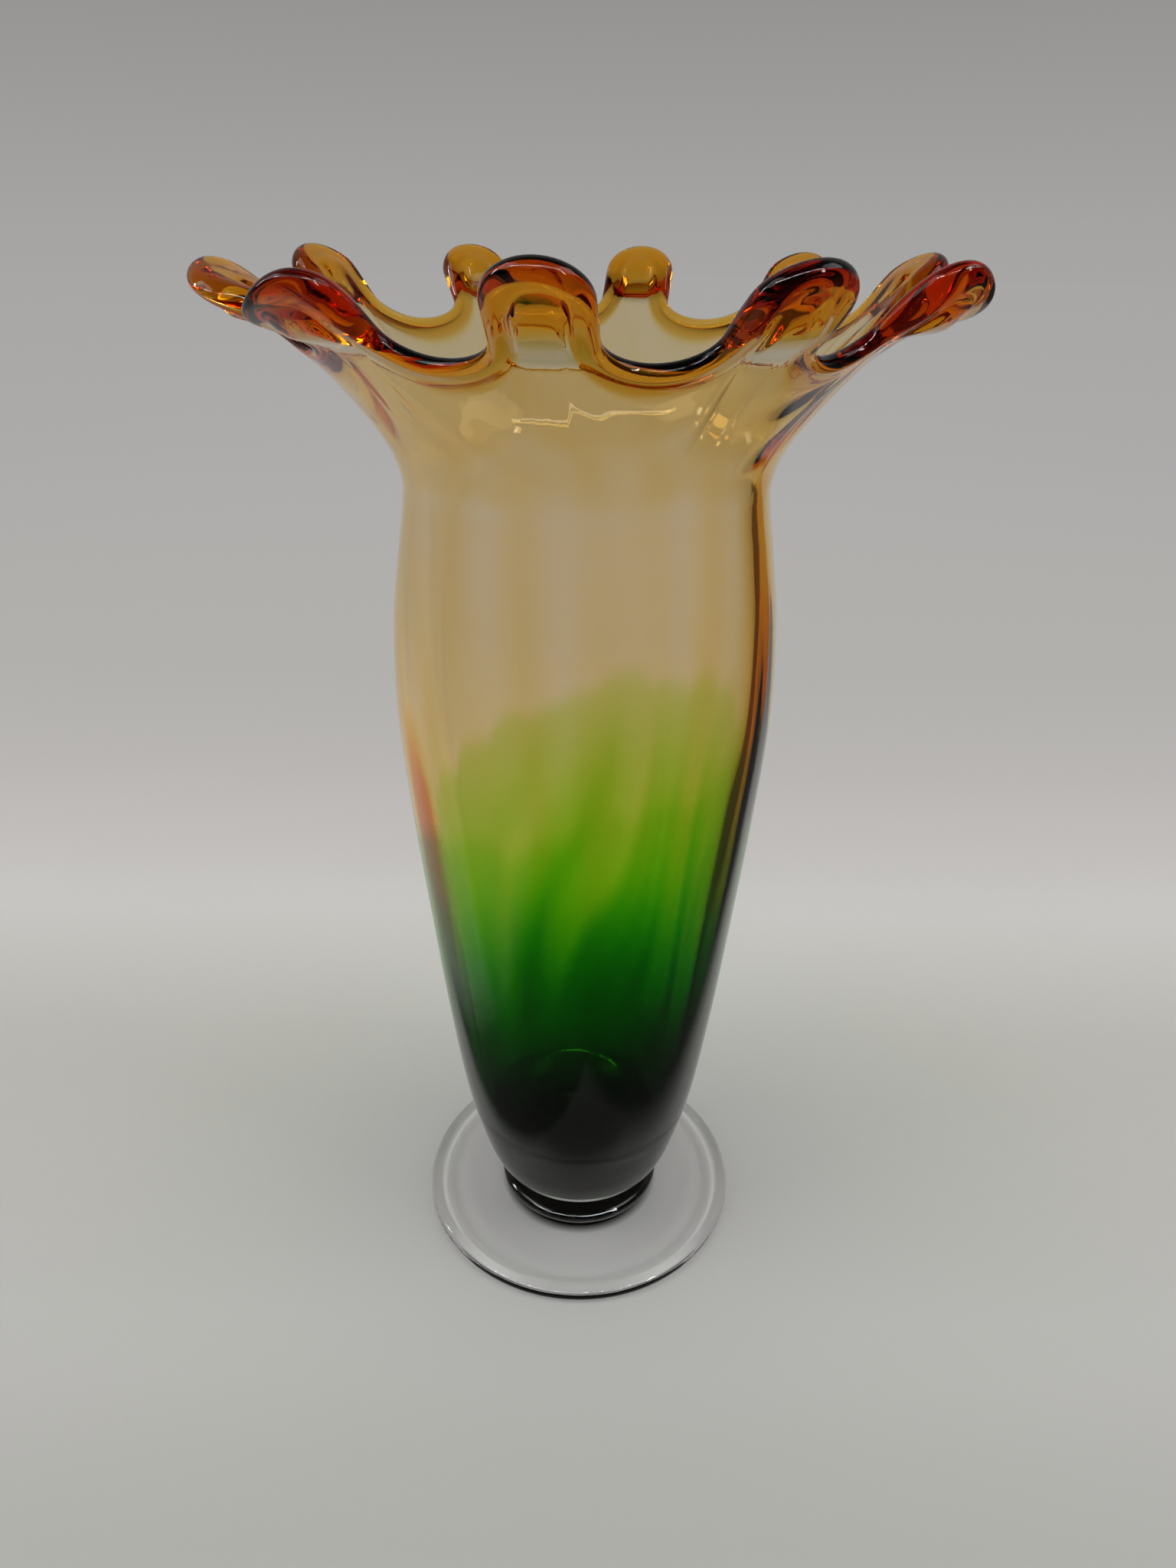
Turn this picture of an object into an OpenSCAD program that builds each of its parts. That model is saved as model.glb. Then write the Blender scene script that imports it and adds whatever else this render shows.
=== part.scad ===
// Blown glass vase: a tall tapering body of amber, green and clear glass with a flared
// ten-petal rim, standing on a joint wafer and a flat round foot.
// Millimetres, Z up, origin at the centre of the foot's underside. The front faces -Y.

/* [Foot and joint wafer] */
// Diameter of the foot disc over its rounded edge
foot_dia = 126.2; // [110:0.2:140]
// Thickness of the foot disc inside its edge bead
foot_thick = 4.6; // [3.6:0.1:6]
// Thickness of the rounded bead along the foot's edge
foot_bead = 5.6; // [5:0.1:7]
// Thickness of the foot under the joint wafer
foot_hub_thick = 6; // [5.2:0.1:8]
// Diameter of the joint wafer between body and foot
wafer_dia = 65; // [58:0.5:72]
// Thickness of the joint wafer
wafer_thick = 5.4; // [4:0.1:8]

/* [Body] */
// Height from the top of the joint wafer to the narrowest place under the flare
body_height = 283.3; // [250:0.5:310]
// Greatest diameter of the body
belly_dia = 124.6; // [110:0.5:136]
// Diameter at the narrowest place under the flare
neck_dia = 111.6; // [96:0.5:118]

/* [Rim] */
// Height of the petal tips' middle line above the neck
rim_rise = 61.6; // [50:0.2:70]
// How much the rim's radius grows per unit of height, far out
flare_slope = 1.2; // [1:0.01:1.3]
// Height over which the flare turns outward
flare_turn = 27; // [22:0.5:36]
// Height of the notch bottoms above the neck
notch_rise = 39.6; // [34:0.2:46]
// Half the width of a petal between the middle lines of its beads
petal_half = 9.8; // [8:0.1:11]
// How deep the round bottom of a notch is
notch_round = 11.4; // [9:0.1:14]
// Diameter of the fire-polished bead along the rim
bead_dia = 4.7; // [4:0.1:6]
// Thickness of a petal near its tip, where the soft glass gathered
petal_thick = 8; // [6:0.1:10]

/* [Glass thickness] */
// Wall of the amber glass
amber_wall = 2.6; // [2:0.1:3.6]
// Wall of the green glass at its floor
green_wall = 6.4; // [4:0.1:8]
// Wall of the green glass at its top edge
green_edge = 0.8; // [0.8:0.1:2]
// Wall of the clear casing
casing_wall = 2.8; // [2:0.1:4]
// Wall of the clear casing at its top edge
casing_edge = 0.8; // [0.8:0.1:1.6]
// Thickness of the clear casing's floor
casing_floor = 9.6; // [7:0.1:13]
// Thickness of the green glass's floor
green_floor = 8.4; // [6:0.1:12]
// Thickness of the amber glass's floor
amber_floor = 4; // [3:0.1:6]
// Height of the green glass's top edge above the joint wafer
green_rise = 197; // [170:1:220]

/* [Hidden] */

petals = 10;
columns_each = 14;
columns = petals * columns_each;
round_faces = 160;
first_petal_turn = 7;

belly_r = belly_dia / 2;
neck_r = neck_dia / 2;
foot_r = foot_dia / 2;
wafer_r = wafer_dia / 2;
bead_r = bead_dia / 2;
tip_half = petal_thick / 2;
body_low = foot_hub_thick + wafer_thick;
neck_z = body_low + body_height;

// Outer outline of the body: shares of the body height and of the greatest radius
body_height_share = [0, 0.013, 0.032, 0.057, 0.090, 0.175, 0.318, 0.462, 0.605, 0.748, 0.856, 0.945, 1];
body_radius_share = [0.385, 0.457, 0.541, 0.598, 0.646, 0.735, 0.823, 0.892, 0.955, 1, 0.985, 0.930];
body_radii = concat([for (s = body_radius_share) s * belly_r], [neck_r]);

// Each petal of the hand-made rim differs a little: a turn in degrees, and shares of the
// petal's half width for its own width, length, reach outward, droop and twist
petal_turn = [-0.9, 0, 0, 3, 3.6, 3.7, 4, 2, 0, 0];
petal_width_share = [1.02, 1.19, 1.04, 0.98, 0.93, 0.98, 0.93, 0.98, 1.14, 1.11];
petal_length_share = [0, 0.10, 0.20, 0, 0, 0, -0.15, 0, 0.30, 0];
petal_reach_share = [0, 0.20, 0.20, 0, 0, 0, 0, 0.10, 0.20, 0];
petal_droop_share = [0, 0.60, 0.46, 0, 0, 0, 0, 0, 0.45, 0];
petal_twist_share = [0, -0.50, 0.30, 0, 0, 0, 0, 0, 0.50, 0];

// Smooth value at x of the curve through the points (xs, ys)
function slope_at(xs, ys, i) = i == 0
    ? (ys[1] - ys[0]) / (xs[1] - xs[0])
    : i == len(xs) - 1
        ? 0
        : (ys[i + 1] - ys[i - 1]) / (xs[i + 1] - xs[i - 1]);
function step_of(xs, x, i = 0) = i >= len(xs) - 2 || x < xs[i + 1] ? i : step_of(xs, x, i + 1);
function smooth_in(xs, ys, x, i) = let (
        w = xs[i + 1] - xs[i],
        t = min(1, max(0, (x - xs[i]) / w)),
        a = slope_at(xs, ys, i) * w,
        b = slope_at(xs, ys, i + 1) * w)
    ys[i] * (1 + t * t * (2 * t - 3)) + a * t * (1 - t) * (1 - t)
        + ys[i + 1] * t * t * (3 - 2 * t) - b * t * t * (1 - t);
function smooth(xs, ys, x) = smooth_in(xs, ys, x, step_of(xs, x));

// Outer radius of the body at a height above the joint wafer, up to the neck
function outer_r(h) = smooth(body_height_share, body_radii, h / body_height);

// Radius lost in the round corner over a floor at height low
corner_share = 0.42;
corner = corner_share * wafer_r;
function corner_loss(h, low) = h >= low + corner
    ? 0
    : let (t = 1 - (h - low) / corner) corner * (1 - sqrt(max(0, 1 - t * t)));

// Walls at a height
function casing_t(h) = let (t = max(0, (h - green_rise) / (body_height - green_rise)))
    casing_wall + (casing_edge - casing_wall) * t * t;
green_fade = green_rise / 5;
function green_t(h) = let (
        t = max(0, min(1, (h - casing_floor) / (green_rise - casing_floor))),
        fade = max(0, 1 - max(0, h - green_rise) / green_fade))
    (green_wall + (green_edge - green_wall) * t) * fade;

green_low = casing_floor;
amber_low = green_low + green_floor;
bowl_low = amber_low + amber_floor;

function casing_in_r(h) = outer_r(h) - casing_t(h) - corner_loss(h, green_low);
function green_in_r(h) = outer_r(h) - casing_t(h) - green_t(h) - corner_loss(h, amber_low);
function bowl_in_r(h) = outer_r(h) - casing_t(h) - green_t(h) - amber_wall
    - corner_loss(h, bowl_low);

// Heights of the rows that the layers share: round corner, then up the wall
corner_row_share = [0, 0.10, 0.40, 1];
wall_row_share = [0.30, 0.58, 0.80, 1];
function corner_rows(low) = [for (s = corner_row_share) low + corner * s];
function rows_between(low, high) = [for (s = wall_row_share) low + (high - low) * s];
outside_rows = [for (s = body_height_share) s * body_height];
casing_in_rows = concat(
    corner_rows(green_low),
    rows_between(green_low + corner, green_rise),
    rows_between(green_rise, body_height));
green_in_rows = concat(corner_rows(amber_low), rows_between(amber_low + corner, green_rise));
bowl_in_rows = concat(
    corner_rows(bowl_low),
    rows_between(bowl_low + corner, body_height));
upper_rows = concat([green_rise], rows_between(green_rise, body_height));

module lathe(points) {
    rotate_extrude($fn = round_faces) polygon(points);
}

// The clear foot: hub, thin disc and round edge bead
foot_bead_r = foot_bead / 2;
foot_top_shares = [[1, 1], [1.18, 0.62], [1.36, 0.22], [1.5, 0]];
module foot() {
    bead_steps = 10;
    bead_mid = foot_r - foot_bead_r;
    bead = [for (i = [0:bead_steps])
        let (a = -90 + i * 210 / bead_steps)
        [bead_mid + foot_bead_r * cos(a), foot_bead_r + foot_bead_r * sin(a)]];
    rise = foot_hub_thick - foot_thick;
    top = [for (i = [len(foot_top_shares) - 1:-1:0])
        [wafer_r * foot_top_shares[i][0], foot_thick + rise * foot_top_shares[i][1]]];
    color([0.90, 0.93, 0.92, 0.35])
        lathe(concat([[0, 0]], bead, [[bead_mid - foot_bead, foot_thick]], top,
            [[0, foot_hub_thick]]));
}

// The joint wafer, with a half-round edge
module merese() {
    edge_steps = 8;
    edge_r = wafer_thick / 2;
    edge = [for (i = [0:edge_steps])
        let (a = -90 + i * 180 / edge_steps)
        [wafer_r - edge_r + edge_r * cos(a), foot_hub_thick + edge_r + edge_r * sin(a)]];
    color([0.86, 0.90, 0.89, 0.40])
        lathe(concat([[0, foot_hub_thick]], edge, [[0, body_low]]));
}

// The clear outer gather: thick floor, thin wall that ends under the flare
module clear_casing() {
    outside = [for (h = outside_rows) [outer_r(h), body_low + h]];
    inside = [for (i = [len(casing_in_rows) - 1:-1:0])
        [casing_in_r(casing_in_rows[i]), body_low + casing_in_rows[i]]];
    color([0.88, 0.90, 0.88, 0.30])
        lathe(concat([[0, body_low]], outside, inside, [[0, body_low + green_low]]));
}

// The green gather between casing and bubble
module green_cup() {
    outside = [for (i = [0:len(green_in_rows) - 1])
        [casing_in_r(casing_in_rows[i]), body_low + casing_in_rows[i]]];
    inside = [for (i = [len(green_in_rows) - 1:-1:0])
        [green_in_r(green_in_rows[i]), body_low + green_in_rows[i]]];
    color([0.05, 0.24, 0.09, 0.85])
        lathe(concat([[0, body_low + green_low]], outside, inside, [[0, body_low + amber_low]]));
}

// Flare of the rim's middle surface: radius at a height above the neck, and height at a slant length
half_wall = (amber_wall + casing_edge) / 2;
function flare_r(h) = neck_r - half_wall
    + flare_slope * (sqrt(h * h + flare_turn * flare_turn) - flare_turn);
function flare_lean(h) = flare_slope * h / sqrt(h * h + flare_turn * flare_turn);
slant_steps = 60;
slant_spare_share = 1.3;
slant_top = rim_rise * slant_spare_share;
slant_table = [for (
        i = 0, s = 0;
        i <= slant_steps;
        s = s + norm([slant_top / slant_steps,
            flare_r(slant_top * (i + 1) / slant_steps) - flare_r(slant_top * i / slant_steps)]),
        i = i + 1)
    [s, slant_top * i / slant_steps]];
height_table = [for (p = slant_table) [p[1], p[0]]];
tip_s = lookup(rim_rise, height_table);
notch_s = lookup(notch_rise, height_table);

function petal_angle(k) = first_petal_turn + k * 360 / petals + petal_turn[k % petals];
function width_of(k) = petal_half * petal_width_share[k % petals];

// The rim's outline, grown outward by g: column c gives the petal that it belongs to, the angle
// and the slant length. A petal's end is round, its sides are straight, and a notch is round.
end_steps = 3;
side_steps = 1;
end_round_share = 0.9;
function half_outline(k, i, g) = let (
        w = width_of(k) + g,
        end_s = tip_s + petal_half * petal_length_share[k % petals] + g,
        low_s = notch_s + notch_round,
        a = i * 90 / end_steps)
    i <= end_steps
    ? let (s = end_s - w * end_round_share * (1 - cos(a))) [w * sin(a), s]
    : let (t = (i - end_steps) / side_steps, s0 = end_s - w * end_round_share)
        [w, s0 + (low_s - s0) * t];
function side_angle(s, x) = x / flare_r(lookup(s, slant_table)) * 180 / PI;
function notch_point(k, a, g) = let (
        low_s = notch_s + notch_round,
        left = petal_angle(k) + side_angle(low_s, width_of(k) + g),
        right = petal_angle(k + 1) - side_angle(low_s, width_of(k + 1) + g),
        mid = (left + right) / 2,
        half = (right - left) / 2)
    [mid - half * cos(a), low_s - (notch_round - g) * sin(a)];
function outline(c, g) = let (
        k = floor(c / columns_each),
        i = c % columns_each,
        near = end_steps + side_steps,
        back = columns_each - i,
        next = (k + 1) % petals)
    i <= near
    ? let (p = half_outline(k, i, g)) [k, petal_angle(k) + side_angle(p[1], p[0]), p[1]]
    : back <= near
        ? let (p = half_outline(k + 1, back, g))
            [next, petal_angle(k + 1) - side_angle(p[1], p[0]), p[1]]
        : let (
            a = (i - near) * 180 / (columns_each - 2 * near),
            p = notch_point(k, a, g))
            [a < 90 ? k : next, p[0], p[1]];

// Angle of a column low on the body: columns spread evenly under a petal and under a notch
under_share = 0.76;
function under_angle(k) = under_share
    * side_angle(notch_s + notch_round, width_of(k) - bead_r);
function even_angle(c) = let (
        k = floor(c / columns_each),
        i = c % columns_each,
        near = end_steps + side_steps,
        back = columns_each - i,
        left = petal_angle(k) + under_angle(k),
        right = petal_angle(k + 1) - under_angle(k + 1))
    i <= near
    ? petal_angle(k) + under_angle(k) * i / near
    : back <= near
        ? petal_angle(k + 1) - under_angle(k + 1) * back / near
        : left + (right - left) * (i - near) / (columns_each - 2 * near);

// Point of the flare at an angle and slant length, lifted off the middle surface
function rim_point(k, angle, s, lift) = let (
        h = lookup(s, slant_table),
        r = flare_r(h),
        lean = flare_lean(h),
        n = [1, -lean] / norm([1, lean]),
        d = max(0, (s - notch_s) / (tip_s - notch_s)),
        centre = petal_angle(k),
        off = (angle - centre + 540) % 360 - 180,
        across = off * PI / 180 * r / width_of(k),
        out = petal_half * petal_reach_share[k] * d * d,
        fall = petal_half * (petal_droop_share[k] - petal_twist_share[k] * across) * d * d,
        rr = r + out + n[0] * lift,
        z = neck_z + h - fall + n[1] * lift)
    [-rr * sin(angle), -rr * cos(angle), z];

// A petal swells from the wall's thickness at the notches to that of its tip
swell_share = 0.7;
function swell(s) = let (t = max(0, min(1, (s - notch_s) / (tip_s - notch_s) / swell_share)))
    t * t * (3 - 2 * t);
function wall_half(s) = half_wall + (tip_half * sin(bead_open) - half_wall) * swell(s);
function edge_half(s) = bead_r + (tip_half - bead_r) * swell(s);
round_share = 0.5;
function edge_round(c) = bead_r + (tip_half - bead_r) * round_share * swell(outline(c, 0)[2]);

flare_rows = 6;
skin_inset_share = 2.3;
function flare_row(i, side) = [for (c = [0:columns - 1]) let (
        v = i / flare_rows,
        o = outline(c, bead_r - edge_round(c) * skin_inset_share),
        blend = v * v * v,
        angle = even_angle(c) + (o[1] - even_angle(c)) * blend,
        s = o[2] * v)
    rim_point(o[0], angle, s, side * wall_half(s))];
bead_rows = 5;
bead_open = 60;
function bead_row(i) = [for (c = [0:columns - 1]) let (
        a = bead_open + (360 - 2 * bead_open) * i / bead_rows,
        o = outline(c, bead_r - edge_round(c) * (1 + cos(a))))
    rim_point(o[0], o[1], o[2], edge_half(o[2]) * sin(a))];
function ring_row(r, z) = [for (c = [0:columns - 1])
    [-r * sin(even_angle(c)), -r * cos(even_angle(c)), z]];

// The amber bubble with its petal rim: rows of points from the outer floor up, over the bead
// and down the inside
module amber_bowl() {
    low = [for (h = green_in_rows) ring_row(green_in_r(h), body_low + h)];
    high = [for (h = upper_rows) ring_row(casing_in_r(h), body_low + h)];
    shelf = [ring_row(neck_r, neck_z)];
    out = [for (i = [1:flare_rows]) flare_row(i, 1)];
    bead = [for (i = [0:bead_rows]) bead_row(i)];
    in = [for (i = [flare_rows:-1:0]) flare_row(i, -1)];
    down = [for (i = [len(bowl_in_rows) - 2:-1:0])
        ring_row(bowl_in_r(bowl_in_rows[i]), body_low + bowl_in_rows[i])];
    rows = concat(low, high, shelf, out, bead, in, down);
    count = len(rows);
    points = concat([for (row = rows) each row],
        [[0, 0, body_low + amber_low], [0, 0, body_low + bowl_low]]);
    bottom = count * columns;
    sides = [for (j = [0:count - 2], c = [0:columns - 1]) let (
            a = j * columns + c,
            b = j * columns + (c + 1) % columns,
            leaving = c % columns_each < columns_each / 2,
            rising = j < count / 2)
        each leaving == rising
            ? [[a, b, b + columns], [a, b + columns, a + columns]]
            : [[a, b, a + columns], [b, b + columns, a + columns]]];
    floors = [for (c = [0:columns - 1]) let (
            d = (c + 1) % columns,
            top = (count - 1) * columns)
        each [[d, c, bottom], [top + c, top + d, bottom + 1]]];
    color([0.80, 0.52, 0.16, 0.55])
        polyhedron(points, concat(sides, floors), convexity = 12);
}

foot();
merese();
clear_casing();
green_cup();
amber_bowl();
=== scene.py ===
"""Looks of the blown glass vase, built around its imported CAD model, in metres. The front faces -Y."""

import math

import bpy
import numpy as np
from mathutils import Matrix, Vector


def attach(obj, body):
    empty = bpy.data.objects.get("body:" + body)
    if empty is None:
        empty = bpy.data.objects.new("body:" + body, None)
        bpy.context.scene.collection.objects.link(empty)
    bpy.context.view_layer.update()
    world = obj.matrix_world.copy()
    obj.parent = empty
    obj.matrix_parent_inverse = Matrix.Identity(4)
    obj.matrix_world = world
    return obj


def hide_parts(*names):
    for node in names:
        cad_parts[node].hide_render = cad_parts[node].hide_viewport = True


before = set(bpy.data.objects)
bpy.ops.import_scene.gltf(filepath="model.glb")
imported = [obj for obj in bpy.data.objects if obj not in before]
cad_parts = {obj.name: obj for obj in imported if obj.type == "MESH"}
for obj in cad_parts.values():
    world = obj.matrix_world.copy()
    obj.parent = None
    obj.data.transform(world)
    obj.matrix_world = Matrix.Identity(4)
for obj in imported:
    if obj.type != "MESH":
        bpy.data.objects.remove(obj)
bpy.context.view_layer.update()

# The polished wall. Body, flared rim and cavity are one skin of fire-polished soda-lime crystal:
# the blower cased the coloured bubbles in clear glass, sheared the hot rim into ten tongues and
# melted the edge round again. The colours lie inside it, as pieces of their own.
#
# Sizes in millimetres, those of the CAD model, whose shapes are worked out again on a finer grid.
foot_hub_thick, wafer_thick, wafer_dia = 6.0, 5.4, 65.0
body_height, belly_dia, neck_dia = 283.3, 124.6, 111.6
rim_rise, flare_slope, flare_turn, notch_rise = 61.2, 1.2, 27.0, 39.6
petals, first_petal_turn, petal_half, petal_thick = 10, 7.0, 9.8, 8.0
notch_round, bead_dia = 11.4, 4.7
amber_wall, casing_edge = 2.6, 0.8
casing_floor, green_floor, amber_floor = 9.6, 8.4, 4.0

belly_r, neck_r, wafer_r, bead_r = belly_dia / 2, neck_dia / 2, wafer_dia / 2, bead_dia / 2
body_low = foot_hub_thick + wafer_thick
neck_z = body_low + body_height
corner = 0.42 * wafer_r
half_wall, tip_half = (amber_wall + casing_edge) / 2, petal_thick / 2
amber_low = casing_floor + green_floor
bowl_low = amber_low + 2 * amber_floor

# Each petal's own form, counted from the front one towards -X, with the first again at the end: its
# turn in degrees, its width, extra length, reach, droop and twist, and the glass gathered in it, with
# the share of its length at which that begins
petal_turn = np.array([-0.9, 0, 0, 3, 3.6, 3.7, 4, 2, 0, 0, -0.9])
petal_width = petal_half * np.array([1.02, 1.19, 1.04, 0.98, 0.93, 0.98, 0.93, 0.98, 1.14, 1.11, 1.02])
petal_length = petal_half * np.array([0, 0.10, 0.20, 0, 0, 0, -0.15, 0, 0.30, 0, 0])
petal_reach = petal_half * np.array([0, 0.20, 0.20, 0, 0, 0, 0, 0.10, 0.20, 0, 0])
petal_droop = petal_half * np.array([0, 0.60, 0.46, 0, 0, 0, 0, 0, 0.45, 0, 0])
petal_twist = petal_half * np.array([0, -0.50, 0.30, 0, 0, 0, 0, 0, 0.50, 0, 0])
petal_drop = np.array([3.0, 3.6, 4.0, 4.4, 4.4, 4.4, 4.4, 4.4, 4.0, 3.4, 3.0])
petal_drop_low = np.array([0.10, 0.12, 0.20, 0.30, 0.32, 0.32, 0.32, 0.30, 0.20, 0.12, 0.10])
petal_angle = first_petal_turn + np.arange(petals + 1) * 360.0 / petals + petal_turn

# The body's outline: radii in shares of the belly's, at heights in shares of the body's
height_share = np.array([0, 0.013, 0.032, 0.057, 0.090, 0.175, 0.318, 0.462, 0.605, 0.748, 0.856, 0.945, 1])
radius_share = np.array([0.385, 0.457, 0.541, 0.598, 0.646, 0.735, 0.823, 0.892, 0.955, 1, 0.985, 0.930])
body_radii = np.append(radius_share * belly_r, neck_r)


def outer_r(h):
    """Radius of the body's outside at heights h above the joint wafer: a cubic between each two given
    points, whose slope at a point is that of the line through its neighbours, and level at the neck."""
    x = np.clip(np.asarray(h, float) / body_height, 0, 1)
    xs, ys = height_share, body_radii
    slope = np.empty(len(xs))
    slope[1:-1] = (ys[2:] - ys[:-2]) / (xs[2:] - xs[:-2])
    slope[0], slope[-1] = (ys[1] - ys[0]) / (xs[1] - xs[0]), 0
    i = np.clip(np.searchsorted(xs, x, side="right") - 1, 0, len(xs) - 2)
    w = xs[i + 1] - xs[i]
    t = np.clip((x - xs[i]) / w, 0, 1)
    return (
        ys[i] * (1 + t * t * (2 * t - 3))
        + slope[i] * w * t * (1 - t) ** 2
        + ys[i + 1] * t * t * (3 - 2 * t)
        - slope[i + 1] * w * t * t * (1 - t)
    )


def step(x, low, high):
    """A smooth step from 0 at low to 1 at high: three times the square of the way, less twice its cube."""
    t = np.clip((np.asarray(x, float) - low) / (high - low), 0, 1)
    return t * t * (3 - 2 * t)


def corner_loss(h, low):
    """Radius lost to the quarter-round corner above a floor at height low: the corner's radius, less
    the side of a right triangle in its circle."""
    t = np.clip(1 - (h - low) / corner, 0, 1)
    return corner * (1 - np.sqrt(1 - t * t))


def flare_r(h):
    """Radius of the rim wall's middle surface: a hyperbola over the height above the neck."""
    return neck_r - half_wall + flare_slope * (np.sqrt(h * h + flare_turn**2) - flare_turn)


flare_h = np.linspace(0, rim_rise * 1.3, 600)
flare_s = np.concatenate([[0], np.cumsum(np.hypot(np.diff(flare_h), np.diff(flare_r(flare_h))))])
tip_s = np.interp(rim_rise, flare_h, flare_s)
notch_s = np.interp(notch_rise, flare_h, flare_s)

# Columns of one petal and one notch: half a petal's round end, its straight side, the notch, and the
# next petal's half
END, SIDE, NOTCH = 12, 6, 22
EACH = 2 * (END + SIDE) + NOTCH
COLUMNS = petals * EACH
here_k, place_in = np.arange(COLUMNS) // EACH, np.arange(COLUMNS) % EACH
near = END + SIDE
back = EACH - place_in
leaving, arriving = place_in <= near, back <= near
notch_a = np.radians((place_in - near) * 180.0 / NOTCH)
owner = np.where(leaving | (~arriving & (notch_a < math.pi / 2)), here_k, here_k + 1)
round_end = 0.9  # length of a petal's round end, in shares of half its width


def side_angle(s, x):
    """Degrees round the flare that a width x covers at slant length s: the width over its radius."""
    return np.degrees(x / flare_r(np.interp(s, flare_s, flare_h)))


def half_outline(k, i, g):
    """Half a petal's outline: a quarter ellipse round its end, then a straight side to the notch."""
    w = petal_width[k] + g
    end_s = tip_s + petal_length[k] + g
    a = np.radians(np.minimum(i, END) * 90.0 / END)
    t = np.clip((i - END) / SIDE, 0, 1)
    side_s = end_s - w * round_end
    s_round = end_s - w * round_end * (1 - np.cos(a))
    s_straight = side_s + (notch_s + notch_round - side_s) * t
    return np.where(i <= END, w * np.sin(a), w), np.where(i <= END, s_round, s_straight)


def outline(g):
    """The rim's outline, grown by g: the angle and slant length of every column. A notch is half an
    ellipse from one petal's side to the next's."""
    g = np.broadcast_to(g, (COLUMNS,))
    low_s = notch_s + notch_round
    x1, s1 = half_outline(here_k, np.where(leaving, place_in, 0), g)
    x2, s2 = half_outline(here_k + 1, np.where(arriving, back, 0), g)
    left = petal_angle[here_k] + side_angle(low_s, petal_width[here_k] + g)
    right = petal_angle[here_k + 1] - side_angle(low_s, petal_width[here_k + 1] + g)
    a1, a2 = petal_angle[here_k] + side_angle(s1, x1), petal_angle[here_k + 1] - side_angle(s2, x2)
    a3 = (left + right) / 2 - (right - left) / 2 * np.cos(notch_a)
    s3 = low_s - (notch_round - g) * np.sin(notch_a)
    angle = np.where(leaving, a1, np.where(arriving, a2, a3))
    return angle, np.where(leaving, s1, np.where(arriving, s2, s3))


def swell(s):
    """How far a petal has swollen from the wall's thickness at the notches to that of its tip: a smooth
    step over the middle third of its length."""
    return step(s, notch_s + 0.25 * (tip_s - notch_s), notch_s + 0.58 * (tip_s - notch_s))


def rim_point(angle, s, lift):
    """Points of the flare at an angle and slant length, lifted off its middle surface. A petal's own
    reach, droop and twist grow with the square of the way from the notch to the tip."""
    h = np.interp(s, flare_s, flare_h)
    r = flare_r(h)
    lean = flare_slope * h / np.sqrt(h * h + flare_turn**2)
    d = np.clip((s - notch_s) / (tip_s - notch_s), 0, None)
    across = np.radians(angle - petal_angle[owner]) * r / petal_width[owner]
    fall = (petal_droop[owner] - petal_twist[owner] * across) * d * d
    rr = r + petal_reach[owner] * d * d + lift / np.hypot(1, lean)
    z = neck_z + h - fall - lean / np.hypot(1, lean) * lift
    a = np.radians(angle)
    return np.stack([-rr * np.sin(a), -rr * np.cos(a), z], -1)


# The angle of each column on the body, where the columns of a petal stand a little closer together
# than in the rim, and half the width of the edge along the wall
under = 0.76 * side_angle(notch_s + notch_round, petal_width - bead_r)
left_a, right_a = petal_angle[here_k] + under[here_k], petal_angle[here_k + 1] - under[here_k + 1]
even_a = np.where(
    leaving,
    petal_angle[here_k] + under[here_k] * place_in / near,
    np.where(
        arriving,
        petal_angle[here_k + 1] - under[here_k + 1] * back / near,
        left_a + (right_a - left_a) * (place_in - near) / NOTCH,
    ),
)
turn = np.radians(even_a)
edge_round = bead_r + (tip_half - bead_r) * 0.5 * swell(outline(0)[1])


def ring(r, z):
    """A ring of the body at radius r and height z, one point for each column."""
    return np.stack([-r * np.sin(turn), -r * np.cos(turn), z + 0 * turn], -1)


# The wall's thickness at the top of its thick right side and of its left side, what each gains on the
# way down and over which length, the height where the left's gain begins, and the right side's turn
right_top, right_gain = 5.2, 5.2
left_top, left_gain = 2.0, 6.0
gain_length, left_from = 200, 262
right_turn = math.radians(62)


def wall_side(h, start, top, gain):
    """Thickness of one side of the wall: top above the height start, and below it more by the gain
    times t + t squared - t cubed, where t is the way down over the gain's length."""
    down = np.clip((start - np.asarray(h, float)) / gain_length, 0, 1)
    return top + gain * down * (1 + down - down * down)


def wall_t(h):
    """Thickness of the blown wall at heights h above the wafer. The cavity sits off centre, so the
    wall is thick on the right all the way up, and on the left only up to the green glass's edge, with
    a cosine round the body between them. Faint ribs from the blowing run down it and fade at the neck."""
    right = wall_side(h, body_height, right_top, right_gain)
    left = wall_side(h, left_from, left_top, left_gain)
    ribs = 0.08 * np.cos(10 * turn + 1.1) + 0.03 * np.cos(17 * turn + 0.012 * h)
    ribs = (ribs + 0.015 * np.cos(29 * turn - 0.02 * h)) * (1 - step(h, 240, body_height))
    return (right + left) / 2 + (right - left) / 2 * np.cos(turn + right_turn) + ribs


def drop(s):
    """Half the glass that a petal has gathered at slant length s, beyond the wall's own. It sits in the
    petal like a drop: one smooth step up to its full thickness, and one down to half of it at the tip."""
    d = (s - notch_s) / (tip_s - notch_s) - petal_drop_low[owner]
    return petal_drop[owner] * (step(d, 0, 0.46) - 0.5 * step(d, 0.44, 0.9))


def edge_half(s):
    """Half thickness of the fire-polished edge at slant length s, with 0.42 of a petal's drop."""
    return bead_r + 0.42 * drop(s)


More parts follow.
